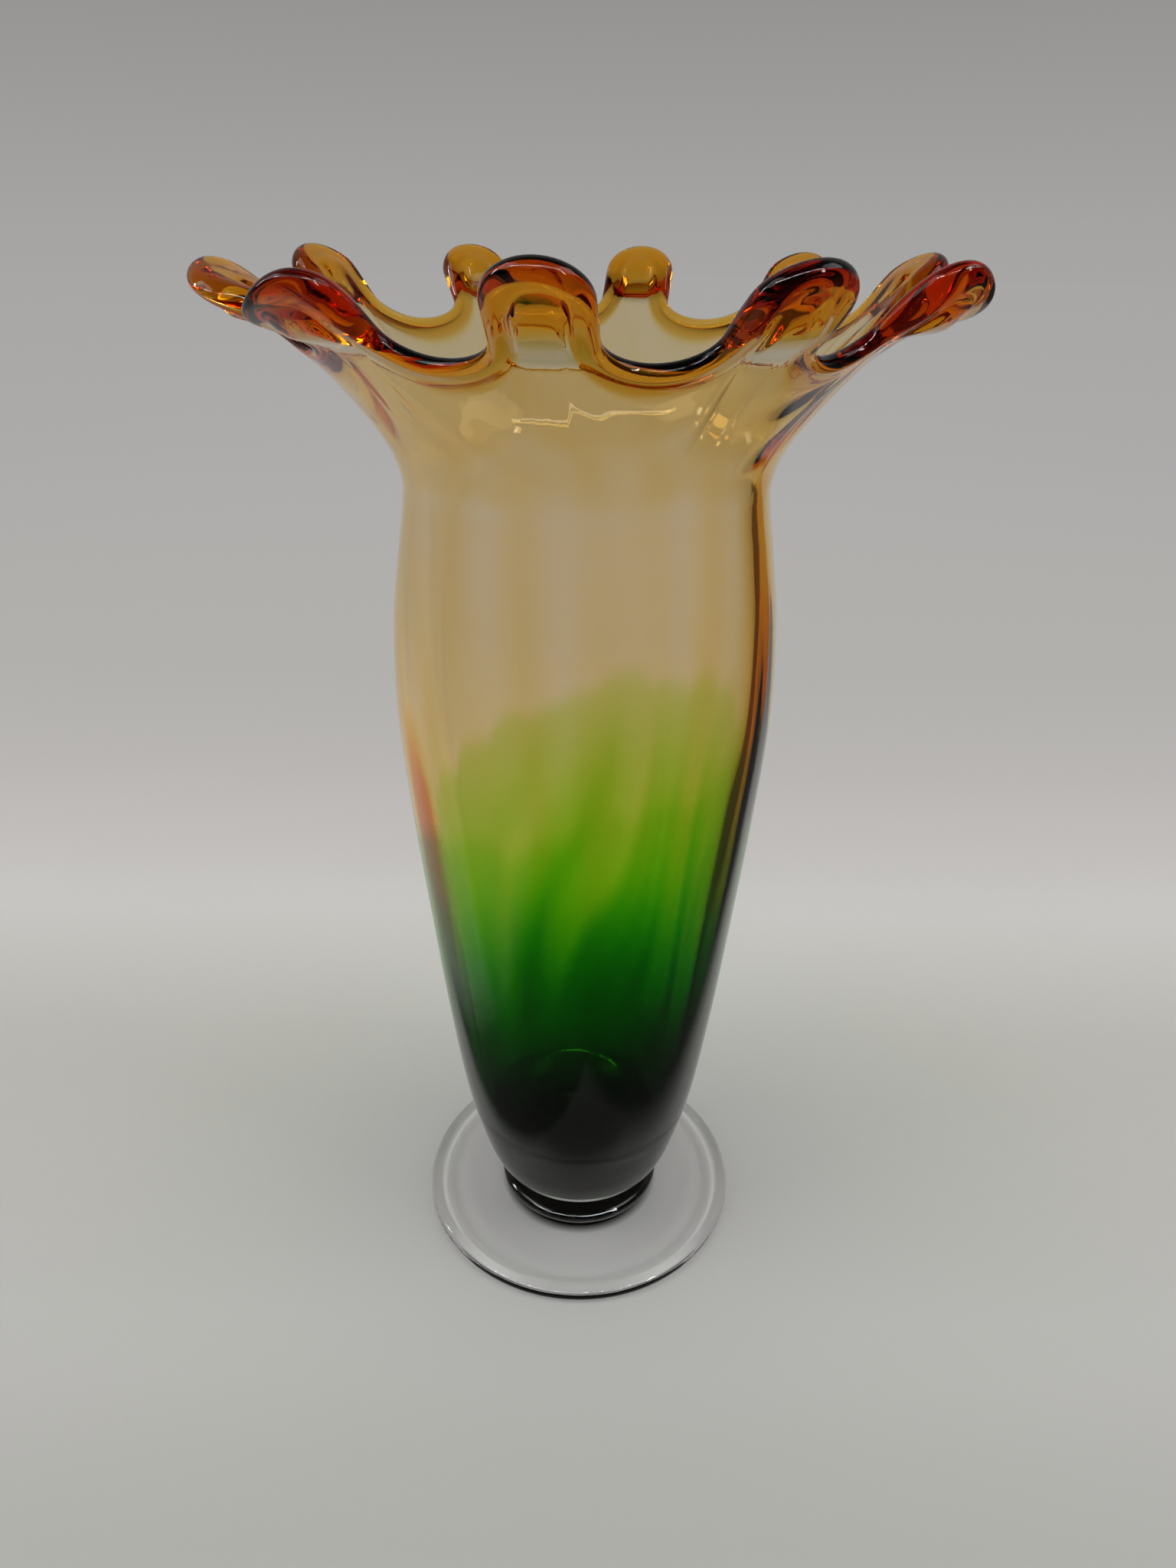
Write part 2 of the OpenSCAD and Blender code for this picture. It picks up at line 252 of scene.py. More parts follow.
def flare_half(v, side):
    """Angles, slant lengths and half thickness of the row at the share v of the way from the neck to
    the bead, on the outer side (1) or inner side (-1), with what it gains where the body's wall is
    thick. Columns crowd towards the petals with the cube of v. A petal's drop hangs down outside, and
    thins by the fourth power of the way across. The last rows meet the bead at 60 degrees round it."""
    angle, s = outline(bead_r - edge_round * 2.3)
    angle, s = even_a + (angle - even_a) * v**3, s * v
    across = np.radians(angle - petal_angle[owner]) * flare_r(np.interp(s, flare_s, flare_h))
    thinner = 0.3 * np.clip((across / petal_width[owner]) ** 4, 0, 1)
    middle = half_wall + drop(s) * (1 + 0.1 * side) * (1 - thinner)
    half = middle + (edge_half(s) * (0.866 + 0.134 * swell(s)) - middle) * v**24
    if side < 0:
        half = half + (wall_t(body_height) - 2 * half_wall) * (1 - step(v, 0, 1))
    return angle, s, half


def flare_row(v, side, shrink=0.0):
    """A row of the flare on one side of its wall, with waves of 0.2 mm from the shaping, which fade to
    nothing at the neck and the bead."""
    angle, s, half = flare_half(v, side)
    wave = 0.13 * np.cos((12 + side) * turn + 8 * v) + 0.07 * np.cos(21 * turn - 11 * v)
    return rim_point(angle, s, side * (half - shrink) + wave * np.sin(math.pi * v) ** 2)


def bead_row(a, shrink=0.0):
    """A row round the fire-polished edge at the angle a round it: an ellipse about the outline, fuller
    on its inner side where a petal has swollen. The amber, which is shrunk, is thinner on top there."""
    angle, s = outline(bead_r - edge_round - (edge_round - shrink) * math.cos(a))
    up = math.sin(a)
    full = up if math.cos(a) < 0 else up + (math.copysign(1, up) - up) * swell(s)
    thinner = 0.45 * swell(s) * (shrink > 0 and up > 0)
    return rim_point(angle, s, (edge_half(s) - shrink) * full * (1 - thinner))


def shell(name, rows, low_centre, high_centre):
    """A closed mesh from rows of points, in millimetres, with a fan over each end."""
    rows = np.array(rows)
    n, m = rows.shape[:2]
    points = np.concatenate([rows.reshape(-1, 3), [low_centre, high_centre]]) / 1000.0
    a = (np.arange(n - 1)[:, None] * m + np.arange(m)[None]).ravel()
    b = (np.arange(n - 1)[:, None] * m + (np.arange(m)[None] + 1) % m).ravel()
    c = np.arange(m)
    d = (c + 1) % m
    top = (n - 1) * m
    quads = np.stack([a + m, b + m, b, a], -1)
    low = np.stack([c, d, np.full(m, n * m)], -1)
    high = np.stack([top + d, top + c, np.full(m, n * m + 1)], -1)
    mesh = bpy.data.meshes.new(name)
    mesh.from_pydata(points.tolist(), [], quads.tolist() + low.tolist() + high.tolist())
    mesh.polygons.foreach_set("use_smooth", np.ones(len(mesh.polygons), bool))
    mesh.update()
    piece = bpy.data.objects.new(name, mesh)
    bpy.context.collection.objects.link(piece)
    return piece


def linear(hexed):
    """sRGB hex to linear RGBA, by the sRGB curve: a line for dark values, and the power 2.4 above."""
    v = np.array([int(hexed[i : i + 2], 16) for i in (0, 2, 4)]) / 255
    return (*np.where(v <= 0.04045, v / 12.92, ((v + 0.055) / 1.055) ** 2.4), 1.0)


def add(tree, kind, links=(), values=(), stops=(), **settings):
    """Adds a node. Sets its properties and sockets by name, the (socket, value) pairs and a colour
    ramp's stops, which are shares and linear colours, and links (socket, output) pairs into it."""
    node = tree.nodes.new(kind)
    for key, value in settings.items():
        if hasattr(node, key):
            setattr(node, key, value)
        else:
            node.inputs[key.replace("_", " ")].default_value = value
    for socket, value in values:
        node.inputs[socket].default_value = value
    for k, (share, colour) in enumerate(stops):
        spot = node.color_ramp.elements[k] if k < 2 else node.color_ramp.elements.new(1.0)
        spot.position, spot.color = share, colour
    for socket, output in links:
        tree.links.new(output, node.inputs[socket])
    return node


def polished(name, swim_depth, tint, sheen=0.38):
    """Fire-polished crystal. It is perfectly smooth, so what stands round it shows sharply, but its
    surface swims a little, drawn out upwards by the blowing: waves about 20 mm wide and 100 mm long.
    Its faint tint by height in metres is clouded by streaks about 11 mm wide and 110 mm long."""
    mat = bpy.data.materials.new(name)
    mat.use_nodes = True
    tree = mat.node_tree
    shader = tree.nodes["Principled BSDF"]
    shader.inputs["Roughness"].default_value = 0.0
    shader.inputs["IOR"].default_value = 1.5
    shader.inputs["Transmission Weight"].default_value = 1.0
    shader.inputs["Specular Tint"].default_value = (sheen, sheen, sheen, 1)
    place = add(tree, "ShaderNodeTexCoord").outputs["Object"]

    drawn = add(tree, "ShaderNodeMapping", [("Vector", place)], Scale=(1, 1, 0.2))
    swim = add(tree, "ShaderNodeTexNoise", [("Vector", drawn.outputs[0])], Scale=50.0, Detail=1.0)
    bump = add(tree, "ShaderNodeBump", [("Height", swim.outputs[0])], Strength=1.0, Distance=swim_depth)
    tree.links.new(bump.outputs[0], shader.inputs["Normal"])

    # The streaks shift the tint by up to 0.03 m, half of which is their middle
    streak, tall = 0.03, 0.36
    long = add(tree, "ShaderNodeMapping", [("Vector", place)], Scale=(1, 1, 0.1))
    cloud = add(tree, "ShaderNodeTexNoise", [("Vector", long.outputs[0])], Scale=90.0, Detail=2.0)
    z = add(tree, "ShaderNodeSeparateXYZ", [("Vector", place)]).outputs["Z"]
    clouded = [(0, cloud.outputs[0]), (2, z)]
    shift = add(tree, "ShaderNodeMath", clouded, [(1, streak)], operation="MULTIPLY_ADD").outputs[0]
    span = {"From_Min": streak / 2, "From_Max": tall + streak / 2}
    share = add(tree, "ShaderNodeMapRange", [("Value", shift)], **span).outputs[0]
    stops = [(height / tall, linear(hexed)) for height, hexed in tint]
    ramp = add(tree, "ShaderNodeValToRGB", [("Fac", share)], stops=stops)
    tree.links.new(ramp.outputs[0], shader.inputs["Base Color"])
    return mat


def straight_through(name):
    """Where two pieces of glass are fused there is no surface, and light goes straight on. Also the
    outside of a coloured glass that lies inside clear glass."""
    mat = bpy.data.materials.new(name)
    mat.use_nodes = True
    tree = mat.node_tree
    tree.nodes.remove(tree.nodes["Principled BSDF"])
    through = add(tree, "ShaderNodeBsdfTransparent")
    tree.links.new(through.outputs[0], tree.nodes["Material Output"].inputs["Surface"])
    return mat


def fuse(piece, joints):
    """Gives the level faces of a piece at each joint's height, out to its reach, the fused joint."""
    piece.data.materials.append(fused)
    centres = np.zeros(len(piece.data.polygons) * 3)
    piece.data.polygons.foreach_get("center", centres)
    x, y, z = centres.reshape(-1, 3).T * 1000
    level = [(np.abs(z - height) < 0.001) & (np.hypot(x, y) < reach) for height, reach in joints]
    piece.data.polygons.foreach_set("material_index", np.any(level, axis=0).astype(int))


def cavity_r(h):
    """Radius of the cavity at height h, round the body: the outside's, less the wall and the corner."""
    return outer_r(h) - wall_t(h) - corner_loss(h, bowl_low)


# Heights of the rows, closer together at the joint and round the cavity's low corner
outside_h = np.concatenate([np.linspace(0, 24, 14), np.linspace(24, body_height, 42)[1:]])
round_h = bowl_low + corner * (1 - np.cos(np.linspace(0, np.pi / 2, 10)))
inside_h = np.concatenate([round_h, np.linspace(bowl_low + corner, body_height, 36)[1:]])
joint_r = float(outer_r(0))

rows = [ring(outer_r(h), body_low + h) for h in outside_h]
rows += [flare_row(v, 1) for v in np.linspace(0, 1, 27)[1:]]
rows += [bead_row(a) for a in np.radians(np.linspace(60, 300, 17))]
rows += [flare_row(v, -1) for v in np.linspace(1, 0, 27)[:-1]]
rows += [ring(cavity_r(h), body_low + h) for h in inside_h[::-1]]
skin = shell("glass_wall", rows, (0, 0, body_low), (0, 0, body_low + bowl_low))
# It swims by 0.12 mm, and its tint goes from none through a touch of grey-green to one of rose
skin_tint = [(0.02, "fefefe"), (0.06, "f8fbf6"), (0.16, "fafbf4"), (0.22, "fef8fc"), (0.34, "fef8fc")]
skin.data.materials.append(polished("fire_polished_crystal", 0.00012, skin_tint))
fused = straight_through("fused_joint")
fuse(skin, [(body_low, joint_r)])
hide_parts("clear_casing")
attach(skin, "root")


# The amber bubble. The first gather, of amber soda-lime glass, blown thin in the body and left thick
# in the tongues of the rim. It has no surface but the skin's: it only takes light away by its depth.


def coloured(name, hexed, density):
    """Coloured glass under the skin: it bends nothing, and takes away light by the length passed."""
    mat = straight_through(name)
    tree = mat.node_tree
    fill = add(tree, "ShaderNodeVolumeAbsorption", Color=linear(hexed), Density=density)
    tree.links.new(fill.outputs[0], tree.nodes["Material Output"].inputs["Volume"])
    return mat


gap = 0.08  # between the colours and the polished surface
flare_amber = 0.45 * amber_wall  # thickness of the amber in the rim's wall


def trail(middle, half_width):
    """A soft bump of height 1 round the body, about an angle in degrees counted from the front
    towards -X: e to the power of minus the square of the way from it in half widths."""
    off = (np.degrees(turn) - middle + 180) % 360 - 180
    return np.exp(-((off / half_width) ** 2))


def amber_t(h):
    """Thickness of the amber glass in the body: thin with slight ribs, thicker towards the floor, and
    with two thick trails at the sides."""
    thin = (0.35 - 0.07 * step(h, 200, body_height)) * amber_wall
    floor_gain = 4.0 * (1 - step(h, 10, 120))
    right = 4.2 * trail(-64, 7.5) * (1 - 0.45 * step(h, 220, body_height))
    left = 5.5 * trail(62, 5) * step(h, 60, 110) * (1 - step(h, 180, 225))
    return thin + floor_gain + right + left + 0.15 * np.cos(13 * turn + 0.01 * h)


def amber_row(v):
    """A row of the amber's outside in the flare: thin in its wall, and nearly full at the edge and in
    the petals' thick ends, where the clear casing stays on the underside."""
    angle, s, inside = flare_half(v, -1)
    outside = flare_half(v, 1)[2] - gap
    lift = amber_t(body_height) * (1 - step(v, 0, 0.16)) + flare_amber * step(v, 0, 0.16) - inside
    full = np.maximum(step(s / v * (1 - v), 7, 0) * (1 - 0.45 * swell(s)), 0.5 * swell(s))
    return rim_point(angle, s, lift + (outside - lift) * full)


def amber_r(h):
    """Radius of the amber's outside at height h: the cavity's and the amber's thickness, but no more
    than the skin's less the gap."""
    outside = np.minimum(outer_r(h) - wall_t(h) + amber_t(h), outer_r(h) - gap)
    return outside - corner_loss(h, amber_low)


round_h = amber_low + corner * (1 - np.cos(np.linspace(0, np.pi / 2, 8)))
low_h = np.concatenate([round_h, np.linspace(amber_low + corner, body_height, 34)[1:]])
rows = [ring(amber_r(h), body_low + h) for h in low_h]
rows += [amber_row(v) for v in np.linspace(0, 1, 25)[1:]]
rows += [bead_row(a, gap) for a in np.radians(np.linspace(60, 300, 13))]
rows += [flare_row(v, -1, gap) for v in np.linspace(1, 0, 25)[:-1]]
rows += [ring(cavity_r(h) + gap, body_low + h - gap) for h in inside_h[::-1]]
bubble = shell("amber_bubble", rows, (0, 0, body_low + amber_low), (0, 0, body_low + bowl_low - gap))
# Amber glass is straw-coloured where it is thin, golden in the tongues, and orange to dark red-brown
# where the light goes a long way through it, as in the edge
bubble.data.materials.append(coloured("amber_glass", "fae31a", 600.0))
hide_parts("amber_bowl")
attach(bubble, "root")

# The green gather. A second gather, of bottle-green glass, over the lower half of the bubble: thick
# at the floor and drawn up into streaks, with an edge that fades out in uneven scallops.
green_wall, green_rise = 6.4, 197.0
high_side = math.radians(85)  # the edge is highest opposite this angle, on the right


def green_top(a):
    """Height of the green glass's edge above the wafer, at angles a in radians round the body: a
    slope of one cosine with scallops, which are cosines without their sign."""
    return (
        188
        + 19 * np.cos(a + high_side)
        + 6 * np.abs(np.cos(3.5 * a + 0.6))
        + 5 * np.abs(np.cos(8 * a + 1.0 + 0.5 * np.sin(3 * a)))
    )


def green_ring(u, inner):
    """A ring of the green glass at the share u of the way from its floor up to its edge. It thins
    upwards by a power law, and more or less of it was drawn up round the body, in leaning streaks.
    Two thick trails run down its sides, and a film of it reaches up to the edge."""
    floor_low = amber_low if inner else casing_floor
    h = floor_low + (green_top(turn) - floor_low) * u
    lean = turn + 0.006 * (h - 60) * np.cos(turn) + 0.12 * np.sin(0.03 * h + 2 * turn)
    streaks = 0.24 * np.cos(7 * lean + 0.4) + 0.15 * np.cos(11 * lean + 2.0) + 0.07 * np.cos(23 * lean + 1.2)
    down = np.clip(150 - h, 0, 110)
    trails = trail(-60 + 0.15 * down, 6 + 0.08 * down) + 0.7 * trail(60 + 0.1 * down, 4 + 0.02 * down)
    share = (green_rise - h + 14 * np.cos(turn + high_side)) / (green_rise - casing_floor)
    share = np.clip(share, 0, 1)
    thick = 1.08 * green_wall * share**1.6 * (0.5 + 0.56 * step(share, 0.42, 0.85))
    thick = thick * (1 + streaks * step(u, 0.1, 0.4))
    thick = thick + 0.045 * down * trails * step(u, 0.05, 0.2) + 0.16 * step(u, 0.5, 0.8)
    thick = thick * (1 - step(u, 0.94, 1)) + 0.01
    inside = outer_r(h) - wall_t(h) + np.minimum(amber_t(h), amber_wall) + 0.1
    outside = np.minimum(inside + thick, outer_r(h) - gap)
    r = (inside if inner else outside) - corner_loss(h, floor_low)
    return np.stack([-r * np.sin(turn), -r * np.cos(turn), body_low + h], -1)


low_shares = 0.1 * (1 - np.cos(np.linspace(0, np.pi / 2, 9)))
shares = np.concatenate([low_shares, np.linspace(0.1, 1, 44)[1:]])
rows = [green_ring(u, False) for u in shares] + [green_ring(u, True) for u in shares[::-1]]
gather = shell("green_gather", rows, (0, 0, body_low + casing_floor), (0, 0, body_low + amber_low))
# Bottle-green glass is yellow-green where it is thin, deep green lower down and black at its floor
gather.data.materials.append(coloured("bottle_green_glass", "d4f600", 3600.0))
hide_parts("green_cup")
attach(gather, "root")

# The joint wafer. A bit of clear crystal dropped on the body's hot bottom and pressed flat, with a
# half-round edge. It is fused to the body above and to the foot below.
edge_r = wafer_thick / 2
wafer_flat = wafer_r - edge_r


def lathed(name, profile, glass, joints):
    """A solid of revolution from a profile of radii and heights, in millimetres, from axis to axis,
    with its glass and its fused joints."""
    profile = np.array(profile, float)
    a = np.linspace(0, -2 * np.pi, 200, endpoint=False)
    r, z = profile[1:-1, :1], profile[1:-1, 1:]
    rows = np.stack([r * np.cos(a), r * np.sin(a), z + 0 * a], -1)
    piece = shell(name, rows, (0, 0, profile[0, 1]), (0, 0, profile[-1, 1]))
    piece.data.materials.append(glass)
    fuse(piece, joints)
    return piece


profile = [(0, foot_hub_thick), (wafer_flat, foot_hub_thick)]
profile += [
    (wafer_flat + edge_r * math.cos(t), foot_hub_thick + edge_r * (1 + math.sin(t)))
    for t in np.radians(np.linspace(-82, 90, 22))
]
profile += [(joint_r, body_low), (0, body_low)]
# The pressed edge swims by 0.3 mm and mirrors at full strength: a dark ring with bright lines. The dark
# is the painted shade on the paper under the foot, seen through it.
no_tint = [(0.0, "fefefe"), (0.36, "fefefe")]
dropped_crystal = polished("pressed_crystal_wafer", 0.0003, no_tint, sheen=1)
wafer = lathed("joint_wafer", profile, dropped_crystal, [(foot_hub_thick, wafer_r), (body_low, joint_r)])
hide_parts("merese")
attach(wafer, "root")

# The foot. Clear crystal spun out into a flat disc under the wafer. Its edge ran back into a round
# bead in the fire, and its underside is a little hollow, so it stands on a ring near the edge.
foot_dia, foot_thick, foot_bead, foot_hollow = 126.2, 4.6, 5.6, 0.55
bead_half = foot_bead / 2
bead_mid = foot_dia / 2 - bead_half

profile = [(bead_mid * s, foot_hollow * (1 - s**4)) for s in (0, 0.3, 0.6, 0.8, 0.9, 0.96)]
profile += [
    (bead_mid + bead_half * math.cos(t), bead_half * (1 + math.sin(t)))
    for t in np.radians(np.linspace(-90, 120, 34))
]
bead_end, bead_top = profile[-1]
inward, rise = bead_mid - foot_bead - bead_end, foot_thick - bead_top
profile += [
    (bead_end + inward * s, bead_top + rise * float(step(s, 0, 1)))
    for s in np.linspace(0, 1, 12)[1:]
]
profile += [
    (wafer_r * (1.5 - 0.5 * s), foot_thick + (foot_hub_thick - foot_thick) * float(step(s, 0, 1)))
    for s in np.linspace(0, 1, 14)
]
profile += [(wafer_flat, foot_hub_thick), (0, foot_hub_thick)]
# The spun disc is nearly flat, so it hardly shows but for the bright and dark lines of its edge
clear_crystal = polished("spun_clear_crystal", 0.0001, no_tint)
disc = lathed("foot_disc", profile, clear_crystal, [(foot_hub_thick, wafer_flat)])
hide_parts("foot")
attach(disc, "root")

# The floor: a matt sheet of warm grey paper that goes on to the horizon. In what the glass mirrors,
# it is dark to the right, close by on the left and towards the viewer, as in a dim room.
floor_r = 12.0
a = np.linspace(0, 2 * np.pi, 96, endpoint=False)
round_edge = np.stack([floor_r * np.cos(a), floor_r * np.sin(a), 0 * a], -1)
mesh = bpy.data.meshes.new("floor")
mesh.from_pydata(round_edge.tolist(), [], [list(range(96))])
floor = bpy.data.objects.new("floor", mesh)
bpy.context.collection.objects.link(floor)

# Matt grey paper without shine. Its colour carries painted light, given by the place from front to back in
# metres:
# a little paler in a soft painted pool of light behind the vase, and a little darker in front of it and
# further back.
paper = bpy.data.materials.new("matt_grey_paper")
paper.use_nodes = True
tree = paper.node_tree
shader = tree.nodes["Principled BSDF"]
shader.inputs["Roughness"].default_value = 0.95
shader.inputs["Specular IOR Level"].default_value = 0.0
sheet_front, sheet_back = -0.2, 6.6
sheet = [
    (-0.134, "b1b1ae"),
    (-0.104, "b8b7b5"),
    (-0.069, "babab8"),
    (-0.023, "bab9b7"),
    (0.023, "bab9b7"),
    (0.085, "bab9b6"),
    (0.163, "c5c4c1"),
    (0.211, "cac9c7"),
    (0.264, "c4c1bf"),
    (0.399, "bbb8b6"),
    (0.592, "b6b5b2"),
    (0.886, "b9b7b4"),
    (1.4, "bbbab9"),
    (2.49, "bdbcbb"),
    (6.6, "bcbbba"),
]
place = add(tree, "ShaderNodeTexCoord").outputs["Object"]
axes = add(tree, "ShaderNodeSeparateXYZ", [("Vector", place)]).outputs
along = [("Value", axes["Y"])]
far = add(tree, "ShaderNodeMapRange", along, From_Min=sheet_front, From_Max=sheet_back).outputs[0]
stops = [((y - sheet_front) / (sheet_back - sheet_front), linear(hexed)) for y, hexed in sheet]
# The painted light of the paper: its painted pool of light and darker bands, as colour
painted_floor_light = add(tree, "ShaderNodeValToRGB", [("Fac", far)], stops=stops)

# Zones that are dark once the glass has mirrored a ray: beyond a slanting line on the right, beyond
# one on the left but close by, far in front, and just in front of the foot
slant = 0.85
smooth = {"interpolation_type": "SMOOTHSTEP"}
to_right = [(0, axes["Y"]), (2, axes["X"])]
right = add(tree, "ShaderNodeMath", to_right, [(1, -slant)], operation="MULTIPLY_ADD").outputs[0]
right = add(tree, "ShaderNodeMapRange", [("Value", right)], From_Min=0.085, From_Max=0.13, To_Max=0.85)
left = add(tree, "ShaderNodeMath", to_right, [(1, slant)], operation="MULTIPLY_ADD").outputs[0]
left = add(tree, "ShaderNodeMapRange", [("Value", left)], From_Min=-0.085, From_Max=-0.105, To_Max=0.82)
close = add(tree, "ShaderNodeMapRange", [("Value", axes["X"])], From_Min=-0.17, From_Max=-0.13)
left = add(tree, "ShaderNodeMath", [(0, left.outputs[0]), (1, close.outputs[0])], operation="MULTIPLY")
sides = add(tree, "ShaderNodeMath", [(0, left.outputs[0]), (1, right.outputs[0])], operation="MAXIMUM")
front = add(tree, "ShaderNodeMapRange", along, From_Min=-0.3, From_Max=-0.5, To_Max=0.45, **smooth)
zones = add(tree, "ShaderNodeMath", [(0, sides.outputs[0]), (1, front.outputs[0])], operation="MAXIMUM")
under_front = add(tree, "ShaderNodeMapRange", along, From_Min=-0.05, From_Max=-0.075, **smooth)
further = add(tree, "ShaderNodeMapRange", along, From_Min=-0.09, From_Max=-0.15, To_Min=0.6, To_Max=0.25)
nearest = [(0, under_front.outputs[0]), (1, further.outputs[0])]
nearest = add(tree, "ShaderNodeMath", nearest, operation="MULTIPLY")
zones = add(tree, "ShaderNodeMath", [(0, zones.outputs[0]), (1, nearest.outputs[0])], operation="MAXIMUM")
path = add(tree, "ShaderNodeLightPath").outputs
mirrored = [(0, path["Glossy Depth"])]
mirrored = add(tree, "ShaderNodeMath", mirrored, [(1, 0.5)], operation="GREATER_THAN").outputs[0]
zones = add(tree, "ShaderNodeMath", [(0, zones.outputs[0]), (1, mirrored)], operation="MULTIPLY")

# The paper under the middle of the foot is painted dark for rays off or through the glass: painted shade
# where no light comes in, which the glass shows as its dark joint
away = add(tree, "ShaderNodeVectorMath", [("Vector", place)], operation="LENGTH").outputs["Value"]
painted_shade_under_foot = add(tree, "ShaderNodeMapRange", [("Value", away)], From_Min=0.033, From_Max=0.029)
by_glass = [(0, path["Is Glossy Ray"]), (1, path["Is Transmission Ray"])]
by_glass = add(tree, "ShaderNodeMath", by_glass, operation="MAXIMUM").outputs[0]
painted_shade_under_foot = add(tree, "ShaderNodeMath", [(0, painted_shade_under_foot.outputs[0]), (1, by_glass)], operation="MULTIPLY")
dim = add(tree, "ShaderNodeMath", [(0, zones.outputs[0]), (1, painted_shade_under_foot.outputs[0])], operation="MAXIMUM")
mixed = [("Factor", dim.outputs[0]), (6, painted_floor_light.outputs[0])]
# Dark grey for the zones the glass mirrors, and for the painted shade under the foot
mix = add(tree, "ShaderNodeMix", mixed, [(7, linear("201e1c"))], data_type="RGBA")
tree.links.new(mix.outputs[2], shader.inputs["Base Color"])
mesh.materials.append(paper)

# The light: a soft white room and two soft boxes. To the camera and to rays that go straight through
# the glass, the room is the wall behind the paper. What the glass mirrors is that wall only ahead and
# low down, and a dim room elsewhere, with two tall panes and a long strip of light high in front.
world = bpy.data.worlds.new("room")
bpy.context.scene.world = world
world.use_nodes = True
tree = world.node_tree
path = add(tree, "ShaderNodeLightPath").outputs
place = add(tree, "ShaderNodeTexCoord").outputs["Generated"]
axes = add(tree, "ShaderNodeSeparateXYZ", [("Vector", place)]).outputs
along, upward = [("Value", axes["Y"])], [("Value", axes["Z"])]
mirrored = [(0, path["Glossy Depth"])]
mirrored = add(tree, "ShaderNodeMath", mirrored, [(1, 0.5)], operation="GREATER_THAN").outputs[0]

# The wall behind the paper, which darkens upwards, by the sine of the height above the horizon
wall_low, wall_high = -0.03, 0.2
wall_greys = [(-0.03, "a7a6a5"), (0.01, "a5a4a3"), (0.086, "9e9c9b"), (0.141, "979694"), (0.2, "8f8e8c")]
height = add(tree, "ShaderNodeMapRange", upward, From_Min=wall_low, From_Max=wall_high).outputs[0]
stops = [((z - wall_low) / (wall_high - wall_low), linear(hexed)) for z, hexed in wall_greys]
wall = add(tree, "ShaderNodeValToRGB", [("Fac", height)], stops=stops)

# The dim room, from behind the viewer to the wall
room_greys = [(-0.6, "353331"), (-0.1, "54524f"), (0.15, "54524f"), (0.5, "8c8a87")]
behind = add(tree, "ShaderNodeMapRange", along, From_Min=-1.0, From_Max=1.0).outputs[0]
stops = [((y + 1) / 2, linear(hexed)) for y, hexed in room_greys]
room = add(tree, "ShaderNodeValToRGB", [("Fac", behind)], stops=stops)
ahead = add(tree, "ShaderNodeMapRange", along, From_Min=0.55, From_Max=0.75, **smooth).outputs[0]
above = add(tree, "ShaderNodeMapRange", upward, From_Min=0.6, From_Max=0.4, **smooth).outputs[0]
wall_share = add(tree, "ShaderNodeMath", [(0, ahead), (1, above)], operation="MULTIPLY").outputs[0]
straight = add(tree, "ShaderNodeMath", [(1, mirrored)], [(0, 1.0)], operation="SUBTRACT").outputs[0]
wall_share = add(tree, "ShaderNodeMath", [(0, wall_share), (1, straight)], operation="MAXIMUM").outputs[0]
seen = [("Factor", wall_share), (6, room.outputs[0]), (7, wall.outputs[0])]
seen = add(tree, "ShaderNodeMix", seen, data_type="RGBA").outputs[2]

# The two panes stand at degrees round the room, from the viewer's side towards +X, with shares of
# full brightness, and the strip lies across the viewer's side
pane_turns = [(-180, 0), (-101, 0.5), (-96, 0), (45, 0.6), (50, 0)]
pane_high, pane_half = 0.38, 0.12
strip_high, strip_half, strip_turn, strip_reach = 0.615, 0.018, -0.1, 1.1
window_light = (55, 56, 58, 1)
viewer = add(tree, "ShaderNodeMath", [(0, axes["Y"])], [(1, -1.0)], operation="MULTIPLY").outputs[0]
round_by = add(tree, "ShaderNodeMath", [(0, axes["X"]), (1, viewer)], operation="ARCTAN2").outputs[0]
span = {"From_Min": -math.pi, "From_Max": math.pi}
round_share = add(tree, "ShaderNodeMapRange", [("Value", round_by)], **span).outputs[0]
stops = [((degrees + 180) / 360, (bright, bright, bright, 1)) for degrees, bright in pane_turns]
panes = add(tree, "ShaderNodeValToRGB", [("Fac", round_share)], stops=stops)
panes.color_ramp.interpolation = "CONSTANT"
band = [(1, pane_high), (2, pane_half)]
pane_band = add(tree, "ShaderNodeMath", [(0, axes["Z"])], band, operation="COMPARE").outputs[0]
pane = add(tree, "ShaderNodeMath", [(0, panes.outputs[0]), (1, pane_band)], operation="MULTIPLY")
band = [(1, strip_high), (2, strip_half)]
strip_band = add(tree, "ShaderNodeMath", [(0, axes["Z"])], band, operation="COMPARE").outputs[0]
width = [(1, strip_turn), (2, strip_reach)]
strip_wide = add(tree, "ShaderNodeMath", [(0, round_by)], width, operation="COMPARE").outputs[0]
strip = add(tree, "ShaderNodeMath", [(0, strip_band), (1, strip_wide)], operation="MULTIPLY")
window = [(0, strip.outputs[0]), (1, pane.outputs[0])]
window = add(tree, "ShaderNodeMath", window, operation="MAXIMUM").outputs[0]
window = add(tree, "ShaderNodeMath", [(0, window), (1, mirrored)], operation="MULTIPLY").outputs[0]
lit = [("Factor", window), (6, seen)]
lit = add(tree, "ShaderNodeMix", lit, [(7, window_light)], data_type="RGBA").outputs[2]

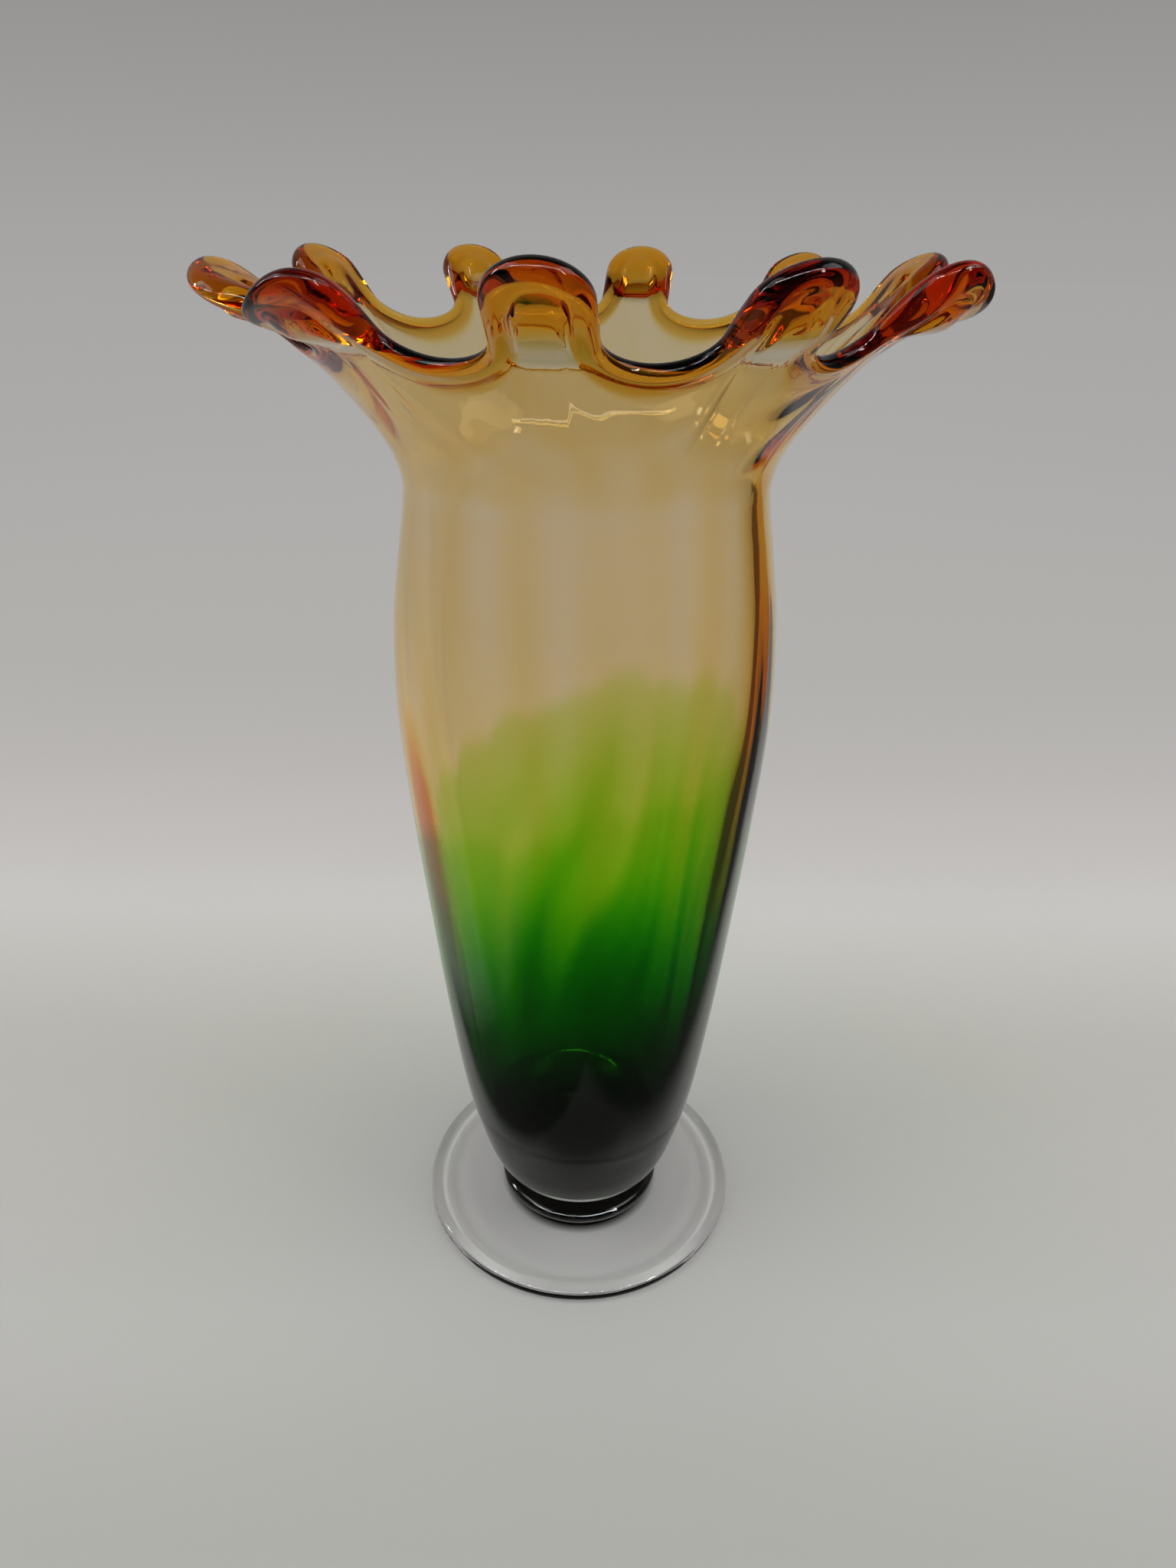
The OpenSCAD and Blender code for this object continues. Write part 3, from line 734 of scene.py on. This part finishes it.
# All that only the glass shows, then the plain soft light for everything else, then the camera's wall
by_glass = [(0, path["Is Glossy Ray"]), (1, path["Is Transmission Ray"])]
by_glass = add(tree, "ShaderNodeMath", by_glass, operation="MAXIMUM").outputs[0]
first = [(0, path["Diffuse Depth"])]
first = add(tree, "ShaderNodeMath", first, [(1, 0.5)], operation="LESS_THAN").outputs[0]
by_glass = add(tree, "ShaderNodeMath", [(0, by_glass), (1, first)], operation="MULTIPLY").outputs[0]
soft_light = (0.78, 0.78, 0.78, 1)
light = [("Factor", by_glass), (7, lit)]
light = add(tree, "ShaderNodeMix", light, [(6, soft_light)], data_type="RGBA").outputs[2]
shown = [("Factor", path["Is Camera Ray"]), (6, light), (7, wall.outputs[0])]
shown = add(tree, "ShaderNodeMix", shown, data_type="RGBA").outputs[2]
tree.links.new(shown, tree.nodes["Background"].inputs["Color"])


def soft_box(name, place, size, watts):
    """A rectangular soft box at a place in metres, aimed at the middle of the vase."""
    data = bpy.data.lights.new(name, "AREA")
    data.shape = "RECTANGLE"
    data.size, data.size_y = size
    data.energy = watts
    lamp = bpy.data.objects.new(name, data)
    bpy.context.collection.objects.link(lamp)
    lamp.location = place
    lamp.rotation_euler = (Vector((0, 0, 0.18)) - Vector(place)).to_track_quat("-Z", "Y").to_euler()


soft_box("soft_box_left", (-1.1, -0.3, 1.3), (0.9, 0.7), 4.8)
soft_box("soft_box_right", (1.1, -0.3, 1.3), (0.9, 0.7), 4.8)

# The camera, fitted to the photograph: its place in metres, its focal length in pixels of the picture,
# which is 1536 pixels wide, its pitch below the level and a slight roll in degrees.
camera_place = (0.0016, -0.3309, 0.3616)
picture_wide, focal, pitch, roll = 1536, 1382.7, 27.35, 0.78
view = bpy.data.cameras.new("camera")
view.sensor_fit = "HORIZONTAL"
view.sensor_width = 36.0
view.lens = focal / picture_wide * view.sensor_width
view.clip_start = 0.01
camera = bpy.data.objects.new("camera", view)
bpy.context.collection.objects.link(camera)
camera.matrix_world = (
    Matrix.Translation(camera_place)
    @ Matrix.Rotation(math.radians(90 - pitch), 4, "X")
    @ Matrix.Rotation(math.radians(roll), 4, "Z")
)
scene = bpy.context.scene
scene.camera = camera
scene.view_settings.view_transform = "Standard"
# Light is mirrored many times in a thick edge, and passes many coloured and fused surfaces
scene.cycles.max_bounces = 40
scene.cycles.transmission_bounces = 40
scene.cycles.glossy_bounces = 16
scene.cycles.diffuse_bounces = 4
scene.cycles.transparent_max_bounces = 96
scene.cycles.use_denoising = True
scene.cycles.blur_glossy = 0.0
